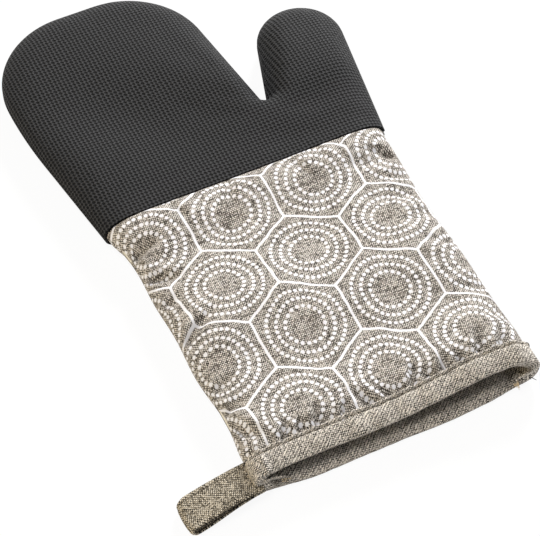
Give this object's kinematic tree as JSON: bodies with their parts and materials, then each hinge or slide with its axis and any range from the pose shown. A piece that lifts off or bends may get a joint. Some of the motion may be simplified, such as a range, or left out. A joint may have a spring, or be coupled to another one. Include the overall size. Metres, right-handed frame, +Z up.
{
  "type": "oven mitt",
  "caption": "Padded oven mitt: a dark embossed neoprene hand with thumb, a printed cloth cuff, lining inside, a bound mouth and a tape loop to hang it by.",
  "frame": {"origin": "under the middle of the whole mitt, loop included, on the surface it lies on, palm down", "axes": "+X across the mitt towards the thumb, +Y from the mouth to the fingertips, +Z up out of the back of the hand"},
  "size_m": [0.2154, 0.334, 0.022],
  "materials": {
    "neoprene": "charcoal knit-faced neoprene with a fine embossed grid",
    "cuff_cloth": "beige-grey linen-look cotton printed with white honeycomb lines and rings of dots",
    "wadding": "undyed cotton and polyester felt",
    "lining": "plain grey-brown cotton",
    "binding_tape": "the cuff's cloth, unprinted, cut on the bias and folded",
    "loop_tape": "the cuff's cloth, unprinted, folded to a tape",
    "thread": "dark grey-brown polyester thread"
  },
  "bodies": {
    "mitt": {"neoprene_back": "neoprene", "neoprene_palm": "neoprene", "cuff_back": "cuff_cloth", "cuff_palm": "cuff_cloth", "wadding_back": "wadding", "wadding_palm": "wadding", "lining_back": "lining", "lining_palm": "lining", "mouth_binding": "binding_tape", "binding_stitching_back": "thread", "binding_stitching_palm": "thread", "cuff_seam_thread_back": "thread", "cuff_seam_thread_palm": "thread", "outer_seam_thread": "thread", "lining_seam_thread": "thread"},
    "loop": {"hanging_loop": "loop_tape", "loop_stitching_upper": "thread", "loop_stitching_lower": "thread"}
  },
  "joints": [
    {"name": "loop_swing", "type": "hinge", "parent": "mitt", "child": "loop", "pos_m": [-0.07168, -0.158, 0.007], "axis": [0, 1, 0], "range_deg": [-75, 85]}
  ]
}
